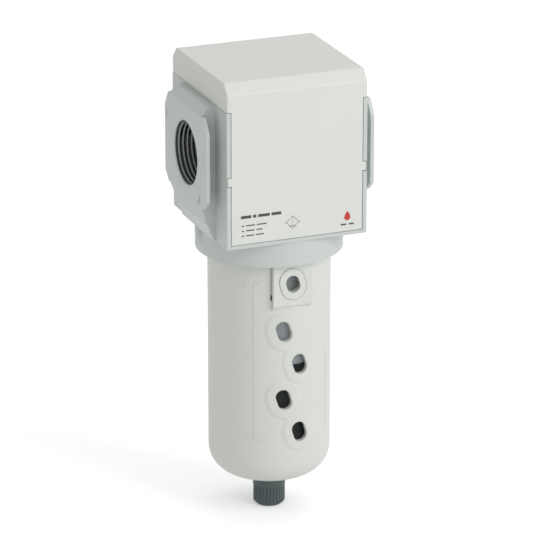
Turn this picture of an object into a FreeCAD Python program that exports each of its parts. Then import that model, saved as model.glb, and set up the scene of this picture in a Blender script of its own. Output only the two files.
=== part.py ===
import FreeCAD, Part
import Sketcher
import math
import os

# Compressed air filter, G1 ports, plastic-hooded die-cast head and bayonet bowl.
# Frame: origin at the centre of the inlet port's mouth, +X along the port axis
# towards the outlet, +Z up, the label side faces -Y. Lengths are millimetres.

doc = FreeCAD.newDocument("compressed_air_filter")
sheet = doc.addObject("Spreadsheet::Sheet", "dims")

# Driving dimensions: alias, value, what it is.
DRIVING = [
    ("port_span", 89.5, "flange face to flange face"),
    ("body_half_x", 37.25, "head, half width along the ports"),
    ("body_half_y", 38.0, "head, half depth"),
    ("hood_top", 44.4, "top face of the hood"),
    ("hood_edge", 30.3, "lower edge of the hood's sides"),
    ("hood_wall", 2.6, "hood wall thickness"),
    ("hood_seat", 0.3, "clearance between the hood's rim and the head"),
    ("bevel_drop", 5.4, "front and rear bevel of the hood, height"),
    ("bevel_run", 4.8, "front and rear bevel of the hood, depth"),
    ("panel_half", 34.85, "front panel, half width"),
    ("panel_foot", -38.15, "lower edge of the front panel"),
    ("panel_gap", 0.3, "visible gap round the panel"),
    ("latch_top", -2.9, "top of the panel's side latches"),
    ("latch_tall", 4.5, "height of the side latches"),
    ("latch_reach", 1.9, "how far a latch stands into the rim"),
    ("body_foot", -40.3, "underside of the square head"),
    ("wall_inner", 33.0, "inner face of the head's side walls"),
    ("base_top", -12.0, "top of the head's solid base"),
    ("deck_low", 27.5, "underside of the head's top deck"),
    ("barrel_rad", 20.0, "outside of the port barrel"),
    ("lip_thick", 2.0, "clamp flange lip, thickness"),
    ("lip_half", 29.3, "clamp flange lip, half width"),
    ("lip_flat", 17.5, "half height of the lip's straight sides"),
    ("lip_top", 25.0, "top edge of the lip"),
    ("lip_corner", 24.4, "half width of the lip's top edge"),
    ("lip_foot", -22.3, "lower edge of the lip's corners"),
    ("root_half", 22.0, "half width of the pad behind the lip"),
    ("root_foot", -31.0, "lower end of the clamp groove"),
    ("brow_top", 29.3, "top of the pad under the hood"),
    ("brow_out", 41.1, "outer edge of the pad's top"),
    ("chin_out", 38.4, "pad at the head's underside"),
    ("thread_minor", 15.15, "G1 thread, minor radius"),
    ("thread_major", 16.6, "G1 thread, major radius"),
    ("thread_pitch", 2.309, "G1 thread, pitch"),
    ("thread_mouth", 16.9, "countersink radius"),
    ("thread_depth", 21.0, "depth of the tapped hole with its plain run-out"),
    ("duct_rad", 13.5, "air duct behind a thread"),
    ("neck_rad", 37.6, "outside of the neck ring"),
    ("neck_foot", -53.3, "underside of the neck ring"),
    ("socket_rad", 31.7, "bowl socket in the neck"),
    ("socket_top", -39.2, "shoulder above the bowl flange"),
    ("seal_rad", 28.9, "seal bore above the shoulder"),
    ("chamber_foot", -31.0, "lower end of the inlet chamber"),
    ("chamber_top", -17.0, "top of the inlet chamber"),
    ("chamber_rad", 25.0, "outside of the inlet chamber"),
    ("boss_rad", 15.5, "outlet boss, outside"),
    ("boss_bore", 10.0, "outlet boss, bore"),
    ("boss_foot", -36.0, "lower face of the outlet boss"),
    ("bayonet_rad", 34.6, "bayonet groove in the neck"),
    ("bayonet_top", -43.6, "roof of the bayonet groove"),
    ("bayonet_tall", 3.8, "height of the bayonet groove"),
    ("lug_angle", 28.0, "angular width of a bayonet lug, degrees"),
    ("lug_start", 32.0, "angle at which the first lug begins, degrees"),
    ("lug_play", 2.0, "play of a lug in its entry slot, degrees each side"),
    ("unlock_turn", 50.0, "turn from locked to the entry slots, degrees"),
    ("lug_gap", 0.4, "clearance between a lug and its groove"),
    ("guard_rad", 31.3, "bowl guard, outside"),
    ("guard_bore", 29.0, "bowl guard, inside"),
    ("guard_top", -42.0, "upper end of the bowl guard"),
    ("guard_foot", -176.0, "lower face of the bowl guard"),
    ("guard_round", 14.0, "rounding at the foot of the guard"),
    ("bowl_rad", 28.6, "clear bowl, outside"),
    ("bowl_bore", 25.6, "clear bowl, inside"),
    ("bowl_foot", -173.3, "lower face of the clear bowl"),
    ("window_wide", 7.2, "width of a sight window"),
    ("window_tall", 10.8, "height of a sight window"),
    ("window_lean", 17.0, "lean of a sight window, degrees"),
    ("window_side", 4.2, "sideways step of a sight window"),
    ("window_first", -90.2, "height of the first sight window"),
    ("window_step", 18.4, "spacing of the sight windows"),
    ("land_rise", 0.5, "raised land round the windows"),
    ("land_edge", 4.8, "land width round a window"),
    ("lock_half", 10.3, "bowl lock, half width"),
    ("lock_face", -32.3, "front face of the bowl lock"),
    ("lock_top", -53.8, "top of the bowl lock"),
    ("lock_foot", -78.2, "foot of the bowl lock"),
    ("lock_travel", 2.5, "travel of the bowl lock"),
    ("slot_foot", -73.3, "lower end of the lock's slot"),
    ("lock_eye", -64.6, "height of the lock's window"),
    ("rail_front", -28.6, "front face of the lock's rails"),
    ("rail_back", -27.5, "rear face of the lock's rails"),
    ("element_rad", 16.0, "filter element, outside"),
    ("element_bore", 11.0, "filter element, inside"),
    ("element_top", -40.0, "upper end of the filter element"),
    ("element_foot", -104.0, "lower end of the filter element"),
    ("gasket_thick", 1.6, "element gaskets, thickness"),
    ("gasket_seat", -37.8, "face under the vanes that the upper gasket meets"),
    ("rod_rad", 3.0, "tie rod radius"),
    ("baffle_rad", 22.0, "baffle, outside"),
    ("stem_rad", 6.0, "drain body where it passes the bowl"),
    ("spigot_rad", 5.0, "drain body inside the knob"),
    ("knob_top", -179.2, "upper face of the drain knob"),
    ("knob_collar", -185.6, "lower edge of the knob's collar"),
    ("knob_foot", -195.8, "lower face of the drain knob"),
    ("knob_rad", 8.2, "fluted grip of the drain knob"),
    ("collar_rad", 8.8, "collar of the drain knob"),
    ("hub_top", -186.4, "upper face of the knob's hub"),
    ("hub_foot", -189.3, "lower face of the knob's hub"),
    ("hub_bore", 1.55, "hole in the knob's hub for the valve rod"),
    ("drain_minor", 4.28, "G1/8 thread, minor radius"),
    ("drain_run", 4.8, "depth of the G1/8 bore to its undercut"),
    ("drain_pitch", 0.907, "G1/8 thread, pitch"),
]


class Size:
    """A number that also carries its formula, so that it can be bound to the sheet."""

    def __init__(self, value, formula=None):
        self.value = float(value)
        self.formula = formula if formula is not None else f"{float(value):.6f}"

    def combine(self, other, sign, result):
        return Size(result, f"({self.formula} {sign} {size(other).formula})")

    def __add__(self, other):
        return self.combine(other, "+", self.value + size(other).value)

    def __sub__(self, other):
        return self.combine(other, "-", self.value - size(other).value)

    def __mul__(self, other):
        return self.combine(other, "*", self.value * size(other).value)

    def __truediv__(self, other):
        return self.combine(other, "/", self.value / size(other).value)

    def __radd__(self, other):
        return size(other) + self

    def __rsub__(self, other):
        return size(other) - self

    def __rmul__(self, other):
        return size(other) * self

    def __neg__(self):
        return Size(0) - self


def size(value):
    return value if isinstance(value, Size) else Size(value)


class Driving:
    """The sheet's cells as attributes: D.hood_top is the cell with that alias."""


D = Driving()
for row, (alias, value, meaning) in enumerate(DRIVING, start=2):
    sheet.set(f"A{row}", meaning)
    sheet.set(f"B{row}", str(value))
    sheet.setAlias(f"B{row}", alias)
    setattr(D, alias, Size(value, f"dims.{alias}"))
doc.recompute()

AXIS = D.port_span / 2
LEFT = AXIS - D.body_half_x
RIGHT = AXIS + D.body_half_x
# Fused pieces reach this far into each other, and cutters run this far past a face.
OVERLAP = 1.0


def bind(thing, prop, amount):
    thing.setExpression(prop, size(amount).formula)


def put(thing, x=0, y=0, z=0, turn=None):
    """Binds the position of an object; turn is a fixed FreeCAD rotation."""
    if turn is not None:
        thing.Placement = FreeCAD.Placement(FreeCAD.Vector(0, 0, 0), turn)
    for letter, amount in (("x", x), ("y", y), ("z", z)):
        bind(thing, f"Placement.Base.{letter}", amount)
    return thing


def about(x, y, z, degrees):
    return FreeCAD.Rotation(FreeCAD.Vector(x, y, z), size(degrees).value)


def box(name, x, y, z):
    """A box from three (low, high) pairs."""
    thing = doc.addObject("Part::Box", name)
    for prop, (low, high) in (("Length", x), ("Width", y), ("Height", z)):
        bind(thing, prop, size(high) - low)
    return put(thing, x[0], y[0], z[0])


def post(name, radius, low, high, x=AXIS, y=0, angle=360, start=0):
    """An upright cylinder, or a sector of one."""
    thing = doc.addObject("Part::Cylinder", name)
    bind(thing, "Radius", radius)
    bind(thing, "Height", size(high) - low)
    bind(thing, "Angle", angle)
    return put(thing, x, y, low, about(0, 0, 1, start))


def bar_along_x(name, radius, low, high, y=0, z=0):
    thing = doc.addObject("Part::Cylinder", name)
    bind(thing, "Radius", radius)
    bind(thing, "Height", size(high) - low)
    return put(thing, low, y, z, about(0, 1, 0, 90))


def bar_along_y(name, radius, low, high, x=0, z=0):
    thing = doc.addObject("Part::Cylinder", name)
    bind(thing, "Radius", radius)
    bind(thing, "Height", size(high) - low)
    return put(thing, x, low, z, about(1, 0, 0, -90))


def fuse(name, *pieces):
    thing = doc.addObject("Part::MultiFuse", name)
    thing.Shapes = list(pieces)
    return thing


def common(name, *pieces):
    thing = doc.addObject("Part::MultiCommon", name)
    thing.Shapes = list(pieces)
    return thing


def cut(name, base, *tools):
    """base less the tools."""
    thing = doc.addObject("Part::Cut", name)
    thing.Base = base
    thing.Tool = tools[0] if len(tools) == 1 else fuse(name + "_tools", *tools)
    return thing


def tube(name, outer, inner, low, high):
    return cut(name, post(name + "_outer", outer, low, high),
               post(name + "_inner", inner, size(low) - OVERLAP, size(high) + OVERLAP))


def outline(sketch, points):
    """A closed polygon whose corners are bound to formulas, two per corner."""
    count = len(points)
    for index, (across, up) in enumerate(points):
        following = points[(index + 1) % count]
        sketch.addGeometry(Part.LineSegment(
            FreeCAD.Vector(size(across).value, size(up).value, 0),
            FreeCAD.Vector(size(following[0]).value, size(following[1]).value, 0)), False)
    for index in range(count):
        sketch.addConstraint(Sketcher.Constraint("Coincident", index, 2, (index + 1) % count, 1))
    for index, (across, up) in enumerate(points):
        for kind, amount, line in (("DistanceX", across, -2), ("DistanceY", up, -1)):
            amount = size(amount)
            if abs(amount.value) < 1e-9:
                sketch.addConstraint(Sketcher.Constraint("PointOnObject", index, 1, line))
                continue
            number = sketch.addConstraint(
                Sketcher.Constraint(kind, -1, 1, index, 1, amount.value))
            sketch.setExpression(f"Constraints[{number}]", amount.formula)


def plane_of(body, role):
    return next(f for f in body.Origin.OriginFeatures if f.Role == role)


def body_sketch(body, name, role, points):
    sketch = body.newObject("Sketcher::SketchObject", name)
    sketch.AttachmentSupport = (plane_of(body, role), "")
    sketch.MapMode = "FlatFace"
    outline(sketch, points)
    return sketch


def turned(name, points, x=AXIS):
    """A body turned about its own upright axis from (radius, height) corners."""
    body = doc.addObject("PartDesign::Body", name)
    sketch = body_sketch(body, name + "_profile", "XZ_Plane", points)
    turn = body.newObject("PartDesign::Revolution", name + "_turn")
    turn.Profile = sketch
    turn.ReferenceAxis = (sketch, ["V_Axis"])
    turn.Angle = 360
    body.Tip = turn
    put(body, x)
    return body


def prism(name, points, turn, low, high, letter):
    """A straight extrusion of a polygon along X (letter x) or Y (letter y)."""
    sketch = doc.addObject("Sketcher::SketchObject", name + "_profile")
    sketch.Placement = FreeCAD.Placement(FreeCAD.Vector(0, 0, 0), turn)
    outline(sketch, points)
    thing = doc.addObject("Part::Extrusion", name)
    thing.Base = sketch
    thing.DirMode = "Custom"
    thing.Dir = FreeCAD.Vector(1, 0, 0) if letter == "x" else FreeCAD.Vector(0, 1, 0)
    thing.Solid = True
    bind(thing, "LengthFwd", size(high) - low)
    return put(thing, **{letter: low})


def along_x(name, points, low, high):
    """points are (y, z)."""
    turn = FreeCAD.Rotation(FreeCAD.Vector(0, 1, 0), FreeCAD.Vector(0, 0, 1),
                            FreeCAD.Vector(1, 0, 0), "ZXY")
    return prism(name, points, turn, low, high, "x")


def along_y(name, points, low, high):
    """points are (x, z)."""
    return prism(name, points, about(1, 0, 0, 90), low, high, "y")


def ring_edges(shape, radius, height):
    """Names of the circular edges of that radius at that height."""
    names = []
    for number, edge in enumerate(shape.Edges, start=1):
        curve = edge.Curve
        if not isinstance(curve, Part.Circle):
            continue
        if abs(curve.Radius - radius) < 0.01 and abs(curve.Center.z - height) < 0.01:
            names.append(f"Edge{number}")
    return names


def rounded(body, name, radius, rings):
    """Fillets the circular edges of a turned body; rings are (radius, height)."""
    doc.recompute()
    base = body.Tip
    names = []
    for ring_radius, height in rings:
        names += ring_edges(base.Shape, size(ring_radius).value, size(height).value)
    fillet = body.newObject("PartDesign::Fillet", name)
    fillet.Base = (base, names)
    bind(fillet, "Radius", radius)
    body.Tip = fillet
    return fillet


def obround(name, x, z, wide, tall, low, high, lean):
    """A leaning slot-shaped bar along Y, centred on (x, z)."""
    radius = size(wide) / 2
    reach = (size(tall) - wide) / 2
    upper = bar_along_y(name + "_upper", radius, low, high, 0, reach)
    lower = bar_along_y(name + "_lower", radius, low, high, 0, -reach)
    middle = box(name + "_middle", (-radius, radius), (low, high), (-reach, reach))
    whole = fuse(name, upper, lower, middle)
    return put(whole, x, 0, z, about(0, 1, 0, -size(lean)))


def spring(name, radius, wire, low, high, turns, x=AXIS, y=0):
    """A coil spring of round wire between two heights; wire is the wire's radius."""
    rise = size(high) - low - size(wire) * 2
    helix = doc.addObject("Part::Helix", name + "_path")
    bind(helix, "Radius", radius)
    bind(helix, "Height", rise)
    bind(helix, "Pitch", rise / turns)
    section = doc.addObject("Part::Circle", name + "_wire")
    bind(section, "Radius", wire)
    put(section, radius, 0, 0, about(1, 0, 0, 90))
    sweep = doc.addObject("Part::Sweep", name)
    sweep.Sections = [section]
    sweep.Spine = (helix, ["Edge1"])
    sweep.Solid = True
    sweep.Frenet = True
    return put(sweep, x, y, size(low) + wire)


NODES = []


def node(thing, label):
    """Names a finished sub-part."""
    thing.Label = label
    NODES.append(thing)
    return thing


def thread_rings(minor, major, start, pitch, turns, lead, share):
    """Corners of V grooves at the thread's pitch; share is the part of a pitch that is cut."""
    points = []
    for turn in range(turns):
        foot = start + size(pitch) * (turn + lead)
        points += [(minor, foot), (major, foot + size(pitch) * share / 2),
                   (minor, foot + size(pitch) * share)]
    return points


# ---------------------------------------------------------------- head body

def port_cutter(name):
    """The removed volume of a tapped port, opening downwards at height 0.

    The countersink cuts the first groove away on its outer side.
    """
    turns, lead, share = 6, 0.28, 0.72
    sink, first_root = 0.65, 1.0
    start = first_root + D.thread_pitch * share / 2
    rings = thread_rings(D.thread_minor, D.thread_major, start, D.thread_pitch, turns, lead, share)
    return turned(name, [(0, -OVERLAP), (D.thread_mouth, -OVERLAP), (D.thread_mouth, 0),
                         (D.thread_mouth - sink, sink), (D.thread_major, first_root),
                         (D.thread_minor, start)]
                  + rings + [(D.thread_minor, D.thread_depth), (0, D.thread_depth)], 0)


def clamp_flange(side, face, inward):
    """Lip, pad, brow and chin of one port flange; inward is +1 or -1 along X."""
    def span(first, last):
        return (face + first, face + last) if inward > 0 else (face - last, face - first)

    lip = along_x(side + "_lip", [
        (D.lip_half, -D.lip_flat), (D.lip_half, D.lip_flat), (D.lip_corner, D.lip_top),
        (-D.lip_corner, D.lip_top), (-D.lip_half, D.lip_flat), (-D.lip_half, -D.lip_flat),
        (-D.lip_corner, D.lip_foot), (D.lip_corner, D.lip_foot)], *span(0, D.lip_thick))
    root = box(side + "_root", span(D.lip_thick, LEFT + OVERLAP),
               (-D.root_half, D.root_half), (D.root_foot, D.lip_top))
    inside = AXIS - inward * (D.body_half_x - OVERLAP)
    brow = along_y(side + "_brow", [
        (face, D.lip_top - OVERLAP), (face, D.lip_top), (AXIS - inward * D.brow_out, D.brow_top),
        (inside, D.brow_top), (inside, D.lip_top - OVERLAP)], -D.root_half, D.root_half)
    chin = along_y(side + "_chin", [
        (face, D.lip_foot + OVERLAP), (face, D.lip_foot), (AXIS - inward * D.chin_out, D.body_foot),
        (inside, D.body_foot), (inside, D.lip_foot + OVERLAP)], -D.root_half, D.root_half)
    return [lip, root, brow, chin]


def panel_bays():
    """Recesses in the front and rear faces for the hood's panels and latches."""
    behind_panel, beside_latch, latch_play = 0.2, 0.25, 0.3
    depth = D.hood_wall + behind_panel
    rim = D.panel_half + D.panel_gap
    reach = D.panel_half + D.latch_reach + beside_latch
    bays = []
    for name, low, high in (("front", -D.body_half_y - OVERLAP, depth - D.body_half_y),
                            ("rear", D.body_half_y - depth, D.body_half_y + OVERLAP)):
        bays.append(box(f"head_{name}_bay", (AXIS - rim, AXIS + rim), (low, high),
                        (D.panel_foot - D.panel_gap, D.hood_edge + OVERLAP)))
        bays.append(box(f"head_{name}_latch_bay", (AXIS - reach, AXIS + reach), (low, high),
                        (D.latch_top - D.latch_tall - latch_play, D.latch_top + latch_play)))
    return bays


def boss_web():
    """Hub and three arms across the outlet boss, which hold the tie rod."""
    hub_rad, hub_tall, hub_roof, arm_half, arm_tall, above_foot = 5.6, 9, 1, 1.25, 7, 2
    foot = D.boss_foot + above_foot
    web = [post("head_hub", hub_rad, foot, foot + hub_tall)]
    for number in range(3):
        angle = 90 + 120 * number
        sine, cosine = math.sin(math.radians(angle)), math.cos(math.radians(angle))
        arm = box(f"head_arm_{number}", (0, D.boss_bore + OVERLAP), (-arm_half, arm_half),
                  (0, arm_tall))
        web.append(put(arm, AXIS + arm_half * sine, -arm_half * cosine, foot,
                       about(0, 0, 1, angle)))
    rod_hole = post("head_rod_hole", D.rod_rad, foot - OVERLAP, foot + hub_tall - hub_roof)
    return web, rod_hole


def head_body():
    deep = (-D.body_half_y, D.body_half_y)
    walls = (D.base_top - OVERLAP, D.hood_edge)
    deck_side, deck_end, rib_half = 3, 4, 2
    shell = [
        box("head_base", (LEFT, RIGHT), deep, (D.body_foot, D.base_top)),
        box("head_left_wall", (LEFT, AXIS - D.wall_inner), deep, walls),
        box("head_right_wall", (AXIS + D.wall_inner, RIGHT), deep, walls),
        box("head_deck", (LEFT + deck_side, RIGHT - deck_side),
            (deck_end - D.body_half_y, D.body_half_y - deck_end), (D.deck_low, D.hood_edge)),
        box("head_rib", (AXIS - rib_half, AXIS + rib_half), (-D.barrel_rad, D.barrel_rad),
            (D.base_top - OVERLAP, D.deck_low + OVERLAP)),
        bar_along_x("head_barrel", D.barrel_rad, LEFT, RIGHT),
        post("head_neck", D.neck_rad, D.neck_foot, D.body_foot + OVERLAP),
    ]
    shell += clamp_flange("inlet", Size(0), 1)
    shell += clamp_flange("outlet", D.port_span, -1)

    hollow = panel_bays() + [
        post("head_socket", D.socket_rad, D.neck_foot - OVERLAP, D.socket_top),
        post("head_seal_bore", D.seal_rad, D.socket_top - OVERLAP, D.chamber_foot),
        tube("head_chamber", D.chamber_rad, D.boss_rad, D.chamber_foot - OVERLAP, D.chamber_top),
        post("head_bayonet", D.bayonet_rad, D.bayonet_top - D.bayonet_tall, D.bayonet_top),
    ]
    for number in range(3):
        hollow.append(post(f"head_entry_{number}", D.bayonet_rad, D.neck_foot - OVERLAP,
                           D.bayonet_top - OVERLAP, AXIS, 0, D.lug_angle + D.lug_play * 2,
                           D.lug_start - D.lug_play + D.unlock_turn + 120 * number))
    cored = cut("head_cored", fuse("head_outside", *shell), *hollow)
    boss = post("head_boss", D.boss_rad, D.boss_foot, D.chamber_top + OVERLAP)
    solid = fuse("head_with_boss", cored, boss)

    inlet = put(port_cutter("inlet_thread"), 0, 0, 0, about(0, 1, 0, 90))
    outlet = put(port_cutter("outlet_thread"), D.port_span, 0, 0, about(0, 1, 0, -90))
    inlet_wall, drop_rad, drop_top = 14, 7.5, -4
    bored = cut(
        "head_bored", solid, inlet, outlet,
        bar_along_x("head_inlet_duct", D.duct_rad, D.thread_depth - OVERLAP,
                    AXIS - inlet_wall),
        bar_along_x("head_outlet_duct", D.duct_rad, AXIS, D.port_span - D.thread_depth + OVERLAP),
        post("head_inlet_drop", drop_rad, D.chamber_top - OVERLAP, drop_top,
             AXIS - (D.chamber_rad + D.boss_rad) / 2),
        post("head_outlet_rise", D.boss_bore, D.boss_foot - OVERLAP, 0))
    web, rod_hole = boss_web()
    return node(cut("head", fuse("head_with_web", bored, *web), rod_hole), "head_body")


# ---------------------------------------------------------------- hood

def hood_section(half, top, foot):
    """The hood's end view as (y, z) corners: upright sides, two bevels and a flat top."""
    shoulder = top - D.bevel_drop
    return [(-half, foot), (half, foot), (half, shoulder), (half - D.bevel_run, top),
            (D.bevel_run - half, top), (-half, shoulder)]


def top_cover():
    half = D.body_half_y
    inner_half = half - D.hood_wall
    below = D.panel_foot - OVERLAP
    rim = D.hood_edge + D.hood_seat
    outer = along_x("hood_outer", hood_section(half, D.hood_top, D.panel_foot), LEFT, RIGHT)
    inner = along_x("hood_inner", hood_section(inner_half, D.hood_top - D.hood_wall, below),
                    LEFT + D.hood_wall, RIGHT - D.hood_wall)
    deep = (-half - OVERLAP, half + OVERLAP)
    hood = cut(
        "hood_shell", outer, inner,
        box("hood_waist", (LEFT - OVERLAP, RIGHT + OVERLAP), (-inner_half, inner_half),
            (below, rim)),
        box("hood_left_open", (LEFT - OVERLAP, AXIS - D.panel_half), deep, (below, rim)),
        box("hood_right_open", (AXIS + D.panel_half, RIGHT + OVERLAP), deep, (below, rim)))
    reach = D.panel_half + D.latch_reach
    root = D.panel_half - OVERLAP
    latch_deep = 1.8
    latches = []
    for face, depth in (("front", (-half, latch_deep - half)), ("rear", (half - latch_deep, half))):
        for side, width in (("left", (AXIS - reach, AXIS - root)),
                            ("right", (AXIS + root, AXIS + reach))):
            latches.append(box(f"hood_{face}_{side}_latch", width, depth,
                               (D.latch_top - D.latch_tall, D.latch_top)))
    return node(fuse("hood", hood, *latches), "top_cover")


# ---------------------------------------------------------------- filter cartridge

def vane_ring():
    """Hub under the outlet boss, outer rim, and slanted vanes that make the air swirl."""
    below_shelf, boss_play, seat_play, hub_wall = 0.5, 0.2, 0.1, 2
    hub_top = D.chamber_foot - below_shelf
    hub_bore, hub_seat, hub_rad = D.boss_bore + 0.5, D.boss_foot - seat_play, D.boss_rad + hub_wall
    hub = turned("vane_hub", [
        (hub_bore, D.gasket_seat), (hub_rad, D.gasket_seat), (hub_rad, hub_top),
        (D.boss_rad + boss_play, hub_top), (D.boss_rad + boss_play, hub_seat),
        (hub_bore, hub_seat)])
    rim_play, rim_wall, rim_drop = 0.3, 1.5, 1.5
    rim_rad = D.chamber_rad - rim_play
    rim = tube("vane_rim", rim_rad, rim_rad - rim_wall, D.boss_foot - rim_drop, hub_top)
    count, lean, half_thick, half_chord, middle = 12, 42, 0.6, 4, D.boss_foot + 2
    root, tip = D.boss_rad + 1, D.chamber_rad - 1
    slats = []
    for number in range(count):
        slat = box(f"vane_{number}", (root, tip), (-half_thick, half_thick),
                   (-half_chord, half_chord))
        turn = about(0, 0, 1, 360 / count * number).multiply(about(1, 0, 0, lean))
        corner = turn.multVec(FreeCAD.Vector(root.value, -half_thick, -half_chord))
        slats.append(put(slat, AXIS + corner.x, corner.y, middle + corner.z, turn))
    into_rim, into_hub, band_foot, band_top = 0.9, 1.2, D.boss_foot - 0.6, hub_top - 0.4
    band = tube("vane_band", D.chamber_rad - into_rim, D.boss_rad + into_hub, band_foot, band_top)
    blades = common("vane_blades", fuse("vane_slats", *slats), band)
    return node(fuse("vanes", hub, rim, blades), "vane_ring")


def cartridge():
    node(tube("gasket_upper", D.element_rad, D.element_bore, D.element_top, D.gasket_seat),
         "element_top_gasket")
    node(tube("element", D.element_rad, D.element_bore, D.element_foot, D.element_top),
         "filter_element")
    seat = D.element_foot - D.gasket_thick
    node(tube("gasket_lower", D.element_rad, D.element_bore, seat, D.element_foot),
         "element_bottom_gasket")
    rod_play, boss, boss_tall, skirt_drop = 0.05, 6.5, 6, 2.2
    saucer_edge, saucer_drop, saucer_wall = 0.8, 5, 1.5
    boss_foot, skirt = seat - boss_tall, seat - skirt_drop
    node(turned("baffle", [
        (D.rod_rad + rod_play, boss_foot), (D.rod_rad + rod_play, seat),
        (D.element_rad + saucer_edge, seat), (D.baffle_rad, seat - saucer_drop),
        (D.baffle_rad, seat - saucer_drop - saucer_wall),
        (D.element_rad, skirt), (boss, skirt), (boss, boss_foot)]), "baffle")
    rod_end, rod_in_web = 7.5, 9.5
    node(post("rod", D.rod_rad - rod_play, boss_foot - rod_end, D.boss_foot + rod_in_web),
         "tie_rod")
    grip, grip_tall, flange, flange_tall = 5.5, 5, 8, 1.2
    nut_foot, flange_foot = boss_foot - grip_tall, boss_foot - flange_tall
    node(turned("nut", [
        (D.rod_rad, nut_foot), (D.rod_rad, boss_foot), (flange, boss_foot),
        (flange, flange_foot), (grip, flange_foot), (grip, nut_foot)]), "tie_rod_nut")


# ---------------------------------------------------------------- bowl and guard

FLOOR_THICK = 3.0           # the clear bowl's floor
LOCK_SPRING_SIDE = 8.6      # from the lock's middle to each of its springs
LOCK_BACK = -20.0           # the lock's plate and its slot are cut through to here
RAIL_PLAY = 0.3             # play of the lock's rails in the guard's grooves


def clear_bowl():
    stem_play, socket_play, shoulder_play, rim_play = 0.2, 0.5, 0.3, 1.4
    groove_wall, groove_lift, groove_tall = 1.1, 2.4, 2.4
    floor = D.bowl_foot + FLOOR_THICK
    stem_hole = D.stem_rad + stem_play
    flange, flange_top = D.socket_rad - socket_play, D.socket_top - shoulder_play
    groove, groove_foot = D.bowl_bore + groove_wall, D.socket_top + groove_lift
    rim = D.chamber_foot - rim_play
    body = turned("bowl", [
        (stem_hole, D.bowl_foot), (D.bowl_rad, D.bowl_foot), (D.bowl_rad, D.guard_top),
        (flange, D.guard_top), (flange, flange_top), (D.bowl_rad, flange_top),
        (D.bowl_rad, groove_foot), (groove, groove_foot), (groove, groove_foot + groove_tall),
        (D.bowl_rad, groove_foot + groove_tall), (D.bowl_rad, rim), (D.bowl_bore, rim),
        (D.bowl_bore, floor), (stem_hole, floor)])
    wall = D.bowl_rad - D.bowl_bore
    outer_round = D.guard_round - (D.guard_rad - D.bowl_rad)
    rounded(body, "bowl_outer_round", outer_round, [(D.bowl_rad, D.bowl_foot)])
    rounded(body, "bowl_inner_round", outer_round - wall, [(D.bowl_bore, floor)])
    node(body, "clear_bowl")
    wire, ring_inset = 1.0, 0.87
    ring = doc.addObject("Part::Torus", "o_ring")
    bind(ring, "Radius1", D.bowl_rad - ring_inset)
    bind(ring, "Radius2", wire)
    node(put(ring, AXIS, 0, groove_foot + groove_tall / 2), "bowl_o_ring")


def bowl_guard():
    wall = D.guard_rad - D.guard_bore
    floor = D.guard_foot + wall
    nut_hole = 9.4
    shell = turned("guard_shell", [
        (nut_hole, D.guard_foot), (D.guard_rad, D.guard_foot), (D.guard_rad, D.guard_top),
        (D.guard_bore, D.guard_top), (D.guard_bore, floor), (nut_hole, floor)])
    rounded(shell, "guard_outer_round", D.guard_round, [(D.guard_rad, D.guard_foot)])
    rounded(shell, "guard_inner_round", D.guard_round - wall, [(D.guard_bore, floor)])
    lugs = [post(f"guard_lug_{number}", D.bayonet_rad - D.lug_gap,
                 D.bayonet_top - D.bayonet_tall + D.lug_gap, D.bayonet_top - D.lug_gap, AXIS, 0,
                 D.lug_angle, D.lug_start + 120 * number) for number in range(3)]
    lug_ring = cut("guard_lugs", fuse("guard_lug_discs", *lugs),
                   post("guard_lug_bore", D.guard_rad - OVERLAP, D.neck_foot,
                        D.guard_top + OVERLAP))
    before, behind = -D.guard_rad - OVERLAP * 3, -D.guard_bore / 2
    windows, lands = [], []
    for number in range(4):
        place = (AXIS + D.window_side * (1 if number % 2 else -1),
                 D.window_first - D.window_step * number)
        windows.append(obround(f"guard_window_{number}", *place, D.window_wide, D.window_tall,
                               before, behind, D.window_lean))
        lands.append(obround(f"guard_land_{number}", *place, D.window_wide + D.land_edge * 2,
                             D.window_tall + D.land_edge * 2, before, behind, D.window_lean))
    skin = tube("guard_land_skin", D.guard_rad + D.land_rise, D.guard_rad - OVERLAP,
                D.window_first - D.window_step * 5, D.window_first + D.window_step)
    raised = common("guard_raised", fuse("guard_land_bars", *lands), skin)
    slot_play, rail_deep = 0.7, 0.6
    slot_half = D.lock_half + slot_play
    rail_half = slot_half + rail_deep
    tall = (D.slot_foot, D.neck_foot + OVERLAP)
    slot = box("guard_slot", (AXIS - slot_half, AXIS + slot_half), (before, LOCK_BACK), tall)
    rails = box("guard_rail_groove", (AXIS - rail_half, AXIS + rail_half),
                (D.rail_front - RAIL_PLAY, D.rail_back + RAIL_PLAY), tall)
    whole = fuse("guard_whole", shell, lug_ring, raised)
    return node(cut("guard", whole, slot, rails, *windows), "bowl_guard")


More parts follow.
